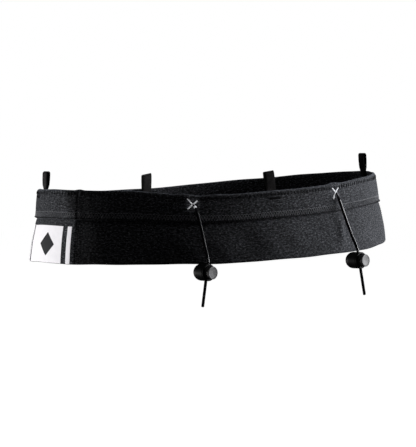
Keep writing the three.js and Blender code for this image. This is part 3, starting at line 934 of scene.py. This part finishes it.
def loop_points(name, angle, outline, across):
    """The outline carried across the ribbon, cut, twisted and leant as the loop is."""
    loop = LOOPS[name]
    ribbon_out, height = outline[None, :, 0], outline[None, :, 1]
    height = height * np.where(height > 0, 1 - loop["cut"] * MM / LOOP_RISE, 1)
    twist = math.radians(loop["turn"]) * np.clip(height / (0.25 * LOOP_CROWN), 0, 1)
    rounding = 1 - 0.12 * np.abs(2 * across[:, None]) ** 6
    pinch = 1 - 0.05 * np.clip(height / LOOP_CROWN, 0, 1)
    side = across[:, None] * LOOP_WIDTH * pinch + 0 * height
    flare = HEM_FLARE * np.maximum(0, -height / HEIGHT) ** FLARE_POWER
    share = np.clip(height / LOOP_CROWN, 0, 1.2)
    lean_along, lean_out = (MM * lean for lean in loop["lean"])
    out = ribbon_out * rounding + flare + lean_out * share
    x = side * np.cos(twist) - out * np.sin(twist) + lean_along * height / LOOP_RISE
    y = side * np.sin(twist) + out * np.cos(twist)
    z = height + loop["slant"] * side * share
    local = np.stack([x, y, z], -1).reshape(-1, 3)
    round_way, up_way, out_way = axes_at(angle)
    return ring(angle, HEIGHT, LOOP_OUT) + local @ np.stack([round_way, out_way, up_way])


def make_loops(looks):
    """Each ribbon is doubled: both ends lie behind the band and the fold stands open."""
    outline, along = loop_outline()
    across = np.linspace(-0.5, 0.5, 13)
    faces = strip_faces(len(across), len(outline))
    uv = strip_uv(across * LOOP_WIDTH, along)
    angles = {name: node_angle(f"gel_loop_{name}") for name in LOOPS}
    for name, angle in angles.items():
        shape = loop_points(name, angle, outline, across), faces, uv
        make_piece(f"gel_loop_{name}", "ribbon", shape, looks["ribbon"])
    return angles


# ---- Elastic cords ----

def cross_frame(side):
    """The middle of a side's cross, and its axes: along the belt, up and out."""
    angle = SIDES[side]["angle"]
    return even_ring(angle, HEIGHT - CROSS_DEPTH), axes_at(angle)


def to_belt(side, points):
    """Points measured from a side's cross, in the belt's frame."""
    origin, axes = cross_frame(side)
    return origin + np.asarray(points, float) @ axes


def tail_way(side):
    """The way the cord runs through its lock and out to its end."""
    along, out, length = (SIDES[side][size] for size in ("tail_along", "tail_out", "tail_length"))
    return np.array([along, -math.sqrt(length**2 - along**2 - out**2), out]) / length


def cord_route(side):
    """The cord's points as (along, up, out) from the middle of its cross."""
    middle, length = SIDES[side]["lock_middle"], SIDES[side]["tail_length"]
    on_tail = [middle + tail_way(side) * d for d in (-LOCK_STRAIGHT, 0, LOCK_STRAIGHT, length)]
    start = SIDES[side]["leaves"]
    drop = on_tail[0] - start
    hanging = [start + share * drop + SAG * math.sin(math.pi * share) for share in HANG_SHARES]
    return np.vstack([start, *hanging, *on_tail])


def smooth_through(points, count):
    """A centripetal Catmull-Rom curve through the points, evenly spaced."""
    ends = [2 * points[0] - points[1], *points, 2 * points[-1] - points[-2]]
    curve = []
    for p0, p1, p2, p3 in zip(ends, ends[1:], ends[2:], ends[3:]):
        d0, d1, d2 = (math.sqrt(np.linalg.norm(b - a)) for a, b in ((p0, p1), (p1, p2), (p2, p3)))
        m1 = d1 * ((p1 - p0) / d0 - (p2 - p0) / (d0 + d1) + (p2 - p1) / d1)
        m2 = d1 * ((p2 - p1) / d1 - (p3 - p1) / (d1 + d2) + (p3 - p2) / d2)
        t = np.linspace(0, 1, 40, endpoint=False)[:, None]
        curve.append(
            p1 * (2 * t**3 - 3 * t**2 + 1) + m1 * (t**3 - 2 * t**2 + t)
            + p2 * (3 * t**2 - 2 * t**3) + m2 * (t**3 - t**2)
        )
    curve = np.vstack([*curve, points[-1:]])
    return resample(curve, np.linspace(0, lengths(curve)[-1], count))


def make_cord(looks, side):
    """The free cord, from where it leaves its bartack to its cut end."""
    path = to_belt(side, smooth_through(cord_route(side), 260))
    shape = tube(path, CORD_DIAMETER / 2, 20)
    cord = make_piece(f"cord_{side}", "braid", shape, looks["cord"])
    cord.parent = None
    along = lengths(path)
    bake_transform(cord)


# Pale thread wrapped round one cord's root is a painted highlight: it stands for the gloss
# highlight on the cord's bend where it leaves its cross.
HIGHLIGHT_WRAP_SIDE = "left"
HIGHLIGHT_WRAP_FROM, HIGHLIGHT_WRAP_TO, HIGHLIGHT_WRAP_TURNS = 13, 24, 4
HIGHLIGHT_WRAP_POINTS = 160
ROOT_POINTS = 40


def make_cord_root(looks, side):
    """The sewn-down end of the cord, bent out from under its cross."""
    start, next_on = cord_route(side)[:2]
    reach = start[0] * 0.35
    bed = [
        (-0.1 * MM, 0.4 * MM, 5.2 * MM),
        (reach, -1.3 * MM, 5.5 * MM),
        (2 * reach, -3.2 * MM, 6.3 * MM),
        start + unit(start - next_on) * 0.4 * MM,
    ]
    sewn = to_belt(side, smooth_through(np.array(bed), ROOT_POINTS))
    girth = CORD_DIAMETER / 2 * np.clip(np.linspace(0.55, 1.15, ROOT_POINTS), 0, 1)
    node = f"cord_root_{side}"
    make_piece(node, "bend", tube(sewn, girth, 20), looks["cord"], body=node)
    # On one side, pale wraps paint the highlight on the cord's bend.
    if side == HIGHLIGHT_WRAP_SIDE:
        highlight_span = slice(HIGHLIGHT_WRAP_FROM, HIGHLIGHT_WRAP_TO + 1)
        make_pale_wraps_for_highlight(looks, node, sewn[highlight_span], girth[highlight_span])


def make_pale_wraps_for_highlight(looks, body, path, girth):
    """A few turns of pale thread round a cord, as a painted highlight on its bend."""
    tangent = unit(np.gradient(path, axis=0))
    here = np.arange(len(path))
    fine = np.linspace(0, here[-1], HIGHLIGHT_WRAP_POINTS)
    centre, aside, ahead = (
        np.stack([np.interp(fine, here, axis) for axis in values.T], -1)
        for values in (path, steady_sides(tangent), tangent)
    )
    spin = np.linspace(0, 2 * math.pi * HIGHLIGHT_WRAP_TURNS, HIGHLIGHT_WRAP_POINTS)[:, None]
    radius = np.interp(fine, here, girth)[:, None] + 0.1 * MM
    helix = centre + radius * (np.cos(spin) * aside + np.sin(spin) * np.cross(ahead, aside))
    thread = tube(helix, FINE_THREAD, 6)
    make_piece(body, "painted_highlight", thread, looks["pale_thread"], body, False)


def make_cross(looks, side):
    """The cross-shaped bartack: two satin bars of pale thread, one over the other."""
    angle = SIDES[side]["angle"]

    def place(along, above, lift):
        up = HEIGHT - CROSS_DEPTH + above
        return on_band(angle + along / arc_per_radian(angle), up, lift + 0.12 * MM)

    def place_over(along, above, lift):
        return place(along, above, lift + 0.45 * MM * near(np.hypot(along, above), 1.6 * MM))

    reach = CROSS_ARM / math.sqrt(2)
    bars = [
        ([(-1, -1), (0.85, 0.9)], CROSS_BAR, 0.17 * MM, place),
        ([(-1, 1), (0.6, -0.6)], CROSS_BAR, 0.17 * MM, place_over),
    ]
    if side != HIGHLIGHT_WRAP_SIDE:
        bars.append(([(-1.05, -1.05), (-0.6, -0.65)], 2 * CROSS_BAR, 0.2 * MM, place_over))
    threads = []
    for ends, width, radius, surface in bars:
        threads += satin(reach * np.array(ends), width, 0.34 * MM, radius, surface)
    sew(f"cord_bartack_{side}", threads, looks["pale_thread"])


# ---- Cord locks: turned about Z, with the cord along Y ----

LOCK_RADIUS = 7 * MM
DOME_CENTRE = -5.9 * MM
MOUTH = 2.8 * MM
CAVITY = 5.65 * MM
CAVITY_END = -6.2 * MM
SEAT_RADIUS = 3.6 * MM
SEAT_END = -10.6 * MM
BORE = CORD_DIAMETER / 2 + 0.45 * MM
PLUNGER_RADIUS = 5.3 * MM
PLUNGER_TRAVEL = 2.5 * MM
PLUNGER_FACE = 7.5 * MM
PLUNGER_BACK = -CORD_DIAMETER / 2 - GAP - 1.8 * MM
SPRING_RADIUS = 2.6 * MM
SPRING_WIRE = 0.35 * MM
SPRING_TURNS = 4
SPRING_POINTS = 240
SPRING_SLACK = 0.1 * MM
BEVEL = 0.3 * MM


def lock_frame(side):
    """Where a lock's middle is, and its axes across, up the cord and out to its face."""
    origin, axes = cross_frame(side)
    up = -(tail_way(side) @ axes)
    turn = Matrix.Rotation(SIDES[side]["lock_turn"], 3, "Z")
    face = np.array(turn @ Vector(axes[2]))
    face = unit(face - up * (face @ up))
    middle = origin + SIDES[side]["lock_middle"] @ axes
    return middle, np.stack([np.cross(up, face), up, face])


def turned(profile, facets=72):
    """Points, faces and UVs of a solid turned from (radius, along) points.

    The profile starts and ends on the axis."""
    profile = np.asarray(profile, float)
    inner = profile[1:-1]
    turn = np.linspace(0, 2 * math.pi, facets, endpoint=False)
    radius, along = inner[:, :1], inner[:, 1:]
    rings = np.stack([radius * np.cos(turn), radius * np.sin(turn), along + 0 * turn], -1)
    points = np.vstack([rings.reshape(-1, 3), [[0, 0, profile[0, 1]], [0, 0, profile[-1, 1]]]])
    faces = grid_faces(len(inner), facets)
    last = len(inner) - 1
    for i in range(facets):
        beside = (i + 1) % facets
        faces.append([beside, i, len(points) - 2])
        faces.append([last * facets + i, last * facets + beside, len(points) - 1])
    return points, faces, points[:, [0, 2]]


def rounded(corner_from, corner, corner_to, radius, count=5):
    """A quarter-round in place of a right-angled corner of a profile."""
    a, b, c = (np.asarray(p, float) for p in (corner_from, corner, corner_to))
    start, end = b + radius * unit(a - b), b + radius * unit(c - b)
    centre = start + end - b
    t = np.linspace(0, math.pi / 2, count)[:, None]
    return centre + (start - centre) * np.cos(t) + (end - centre) * np.sin(t)


def carve(piece, cutter_shape):
    """Cuts a hole through a piece."""
    mesh = bpy.data.meshes.new("cutter")
    points, faces, _ = cutter_shape
    mesh.from_pydata([tuple(p) for p in points], [], faces)
    cutter = bpy.data.objects.new("cutter", mesh)
    bpy.context.collection.objects.link(cutter)
    modifier = piece.modifiers.new("hole", "BOOLEAN")
    modifier.operation = "DIFFERENCE"
    modifier.solver = "EXACT"
    modifier.object = cutter
    bpy.context.view_layer.update()
    evaluated = piece.evaluated_get(bpy.context.evaluated_depsgraph_get())
    shaped = bpy.data.meshes.new_from_object(evaluated)
    piece.modifiers.clear()
    piece.data = shaped
    bpy.data.objects.remove(cutter)
    shaped.shade_smooth()
    shaped.set_sharp_from_angle(angle=math.radians(35))


def slot_prism(half_width, travel, reach):
    """A round-ended bar along Y, closed, that a cord passes down."""
    near_end = arc((0, 0), half_width, 180, 360, 17)
    far_end = arc((0, travel), half_width, 0, 180, 17)
    shared = 1 if travel == 0 else 0
    outline = np.vstack([near_end[: 17 - shared], far_end[: 17 - shared]])
    count = len(outline)
    x, z = outline.T
    ends = [np.stack([x, np.full(count, y), z], -1) for y in (-reach, reach)]
    faces = grid_faces(2, count)
    faces += [list(range(count)), list(range(count, 2 * count))[::-1]]
    return np.vstack(ends), [face[::-1] for face in faces], None


def placed(side, shape):
    """A turned shape, moved to a side's lock."""
    middle, axes = lock_frame(side)
    points, faces, uv = shape
    return middle + points @ axes, faces, uv


def housing_profile():
    """A domed barrel with a groove near its rounded mouth, a cavity and a spring seat."""
    dome = np.linspace(0, math.pi / 2, 22)
    outside = np.stack([np.sin(dome), -np.cos(dome)], -1) * LOCK_RADIUS + (0, DOME_CENTRE)
    groove_bed = LOCK_RADIUS - 0.22 * MM
    groove = MOUTH - 1.9 * MM
    mouth, wall = (CAVITY, MOUTH), (LOCK_RADIUS, MOUTH)
    return [
        *outside,
        (LOCK_RADIUS, -3 * MM),
        (LOCK_RADIUS, groove - 0.35 * MM),
        (groove_bed, groove - 0.2 * MM),
        (groove_bed, groove + 0.2 * MM),
        (LOCK_RADIUS, groove + 0.35 * MM),
        *rounded((LOCK_RADIUS, DOME_CENTRE), wall, mouth, 0.5 * MM),
        *rounded(wall, mouth, (CAVITY, CAVITY_END), 0.25 * MM),
        (CAVITY, CAVITY_END + BEVEL),
        (CAVITY - BEVEL, CAVITY_END),
        (SEAT_RADIUS, CAVITY_END),
        (SEAT_RADIUS, SEAT_END + BEVEL),
        (SEAT_RADIUS - BEVEL, SEAT_END),
        (0, SEAT_END),
    ]


def plunger_profile():
    """A button with a rounded edge and a dished face."""
    dish, edge_radius, rim_width = 0.35 * MM, 0.45 * MM, 0.7 * MM
    back, face = (PLUNGER_RADIUS, PLUNGER_BACK), (0, PLUNGER_FACE)
    edge = rounded(back, (PLUNGER_RADIUS, PLUNGER_FACE), face, edge_radius, 7)
    dish_radius = PLUNGER_RADIUS - edge_radius - rim_width
    dished = [
        (dish_radius * (1 - s), PLUNGER_FACE - dish * (0.55 + 0.45 * s))
        for s in np.linspace(0, 1, 8)
    ]
    return [
        (0, PLUNGER_BACK),
        (PLUNGER_RADIUS - BEVEL, PLUNGER_BACK),
        (PLUNGER_RADIUS, PLUNGER_BACK + BEVEL),
        (PLUNGER_RADIUS, MOUTH + 0.4 * MM),
        *edge,
        (dish_radius + 0.25 * MM, PLUNGER_FACE),
        *dished,
    ]


def make_lock(looks, side):
    """Housing and plunger with real bores, and the spring between them."""
    lock = f"cord_lock_{side}"
    housing = make_piece(
        f"cord_lock_housing_{side}", "shell", placed(side, turned(housing_profile())),
        looks["lock_body"], body=lock,
    )
    carve(housing, placed(side, slot_prism(BORE, 0, 3 * LOCK_RADIUS)))
    plunger = make_piece(
        f"cord_lock_plunger_{side}", "button", placed(side, turned(plunger_profile())),
        looks["lock_plunger"], body=f"plunger_{side}",
    )
    bore = slot_prism(CORD_DIAMETER / 2 + GAP, PLUNGER_TRAVEL, 3 * PLUNGER_RADIUS)
    carve(plunger, placed(side, bore))

    low = SEAT_END + SPRING_WIRE + SPRING_SLACK
    high = PLUNGER_BACK - SPRING_WIRE - SPRING_SLACK
    turn = np.linspace(0, 2 * math.pi * SPRING_TURNS, SPRING_POINTS)
    rise = np.linspace(low, high, SPRING_POINTS)
    coil = np.stack([SPRING_RADIUS * np.cos(turn), SPRING_RADIUS * np.sin(turn), rise], -1)
    spring = make_piece(
        f"cord_lock_spring_{side}", "coil", placed(side, tube(coil, SPRING_WIRE, 10)),
        looks["steel"], body=lock,
    )
    middle, axes = lock_frame(side)
    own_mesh(spring)
    return [housing, plunger, spring]


# ---- Camera, light and floor ----

VIEW_YAW = math.radians(29)
VIEW_ELEVATION = math.radians(3)
VIEW_ROLL = math.radians(2.3)
VIEW_DISTANCE = 2.0
VIEW_SHIFT = (-2.35 * MM, -4.6 * MM)
LENS_MM = 184.9
SENSOR_MM = 36
# azimuth and elevation in degrees, distance, size, watts, colour
SOFT_LIGHTS = {
    "key_right": (80, 9, 1.6, (1.0, 0.5), 69, (0.97, 0.98, 1.0)),
    "rim_left": (-136, -8, 1.5, (0.5, 0.2), 16, (1.0, 0.99, 0.97)),
    "top": (0, 82, 1.5, (1.2, 1.2), 4, (1, 1, 1)),
}
CROSS_LAMP_WATTS = {"left": 11, "right": 12}
LAMP_RADIUS = 0.004
FLOOR_RADIUS = 6
FLOOR_LEVEL = -0.33


def make_camera():
    """The photo's viewpoint."""
    data = bpy.data.cameras.new("camera")
    data.lens = LENS_MM
    data.sensor_width = SENSOR_MM
    camera = bpy.data.objects.new("camera", data)
    turn = Matrix.Rotation(-VIEW_YAW, 4, "Z")
    tilt = Matrix.Rotation(math.pi / 2 - VIEW_ELEVATION, 4, "X")
    roll = Matrix.Rotation(-VIEW_ROLL, 4, "Z")
    camera.matrix_world = turn @ tilt @ roll @ Matrix.Translation((*VIEW_SHIFT, VIEW_DISTANCE))
    bpy.context.collection.objects.link(camera)
    bpy.context.scene.camera = camera


def add_lamp(name, kind, power, location, way):
    """A lamp that shines against the given way."""
    data = bpy.data.lights.new(name, kind)
    data.energy = power
    lamp = bpy.data.objects.new(name, data)
    lamp.location = location
    lamp.rotation_euler = way.to_track_quat("Z", "Y").to_euler()
    bpy.context.collection.objects.link(lamp)
    return data


def soft_light(name):
    """A broad lamp aimed at the middle of the belt."""
    azimuth, elevation, distance, size, power, colour = SOFT_LIGHTS[name]
    a, e = math.radians(azimuth), math.radians(elevation)
    way = Vector((math.sin(a) * math.cos(e), -math.cos(a) * math.cos(e), math.sin(e)))
    data = add_lamp(name, "AREA", power, way * distance, way)
    data.shape = "RECTANGLE"
    data.size, data.size_y = size
    data.color = colour


def snooted_lamp(name, target, way, distance, radius, blend, power):
    """A narrow beam that covers one small area."""
    way = Vector(way)
    location = Vector(target) + way.normalized() * distance
    data = add_lamp(name, "SPOT", power, location, way)
    data.spot_size = 2 * math.atan(radius / distance)
    data.spot_blend = blend
    data.shadow_soft_size = LAMP_RADIUS


def make_world():
    """A plain white backdrop that hardly lights the belt."""
    world = bpy.data.worlds.new("studio")
    nodes = Nodes(world)
    light, backdrop = (
        nodes.node("ShaderNodeBackground", {"Color": (1, 1, 1), "Strength": strength})
        for strength in (0.05, 1.0)
    )
    camera_ray = nodes.node("ShaderNodeLightPath", {})
    seen = nodes.node("ShaderNodeMixShader", {0: camera_ray, 1: light, 2: backdrop})
    nodes.set(nodes.tree.nodes["World Output"], "Surface", seen)
    bpy.context.scene.world = world
    bpy.context.scene.view_settings.view_transform = "Standard"


def make_lights():
    """Broad lamps for the cloth, and narrow ones for the label and the two crosses."""
    soft_light("key_right")
    soft_light("rim_left")
    beside_label = (-HALF_WIDTH, 52 * MM, -12 * MM)
    snooted_lamp(
        "label_lamp", beside_label, (-1.0, -0.3, -0.04),
        distance=1.5, radius=90 * MM, blend=0.04, power=70,
    )
    for side, power in CROSS_LAMP_WATTS.items():
        snooted_lamp(
            f"cross_lamp_{side}", to_belt(side, [0, 0, BAND_THICKNESS]), (-0.2, -1.0, 0.25),
            distance=0.6, radius=5.3 * MM, blend=0.3, power=power,
        )
    soft_light("top")


def make_floor():
    """A pale round floor below the belt."""
    look = Look("studio_floor", Roughness=0.9, Emission_Strength=0.95)
    look.set(look.shader, "Emission Color", (1.0, 1.0, 1.0))
    speckle = look.noise(look.place(), 6.0)
    look.colour(look.mix(speckle, (0.9, 0.9, 0.9), (0.95, 0.95, 0.95)))
    edge = arc((0, 0), FLOOR_RADIUS, 0, 360, 97)[:-1]
    mesh = bpy.data.meshes.new("floor")
    mesh.from_pydata([(x, y, FLOOR_LEVEL) for x, y in edge], [], [list(range(len(edge)))])
    mesh.materials.append(look.material)
    floor = bpy.data.objects.new("floor", mesh)
    bpy.context.collection.objects.link(floor)
    floor.visible_diffuse = False
    floor.visible_glossy = False


def main():
    make_camera()
    make_world()
    make_lights()
    make_floor()
    looks = make_looks()
    for side in SIDES:
        lock_pieces = make_lock(looks, side)
        make_cord(looks, side)
        make_cord_root(looks, side)
        make_cross(looks, side)
    make_cloth(looks)
    make_elastic(looks)
    make_stitches(looks)
    make_side_seams(looks)
    make_label(looks)
    loop_angles = make_loops(looks)
    make_loop_bartacks(looks, loop_angles)


main()
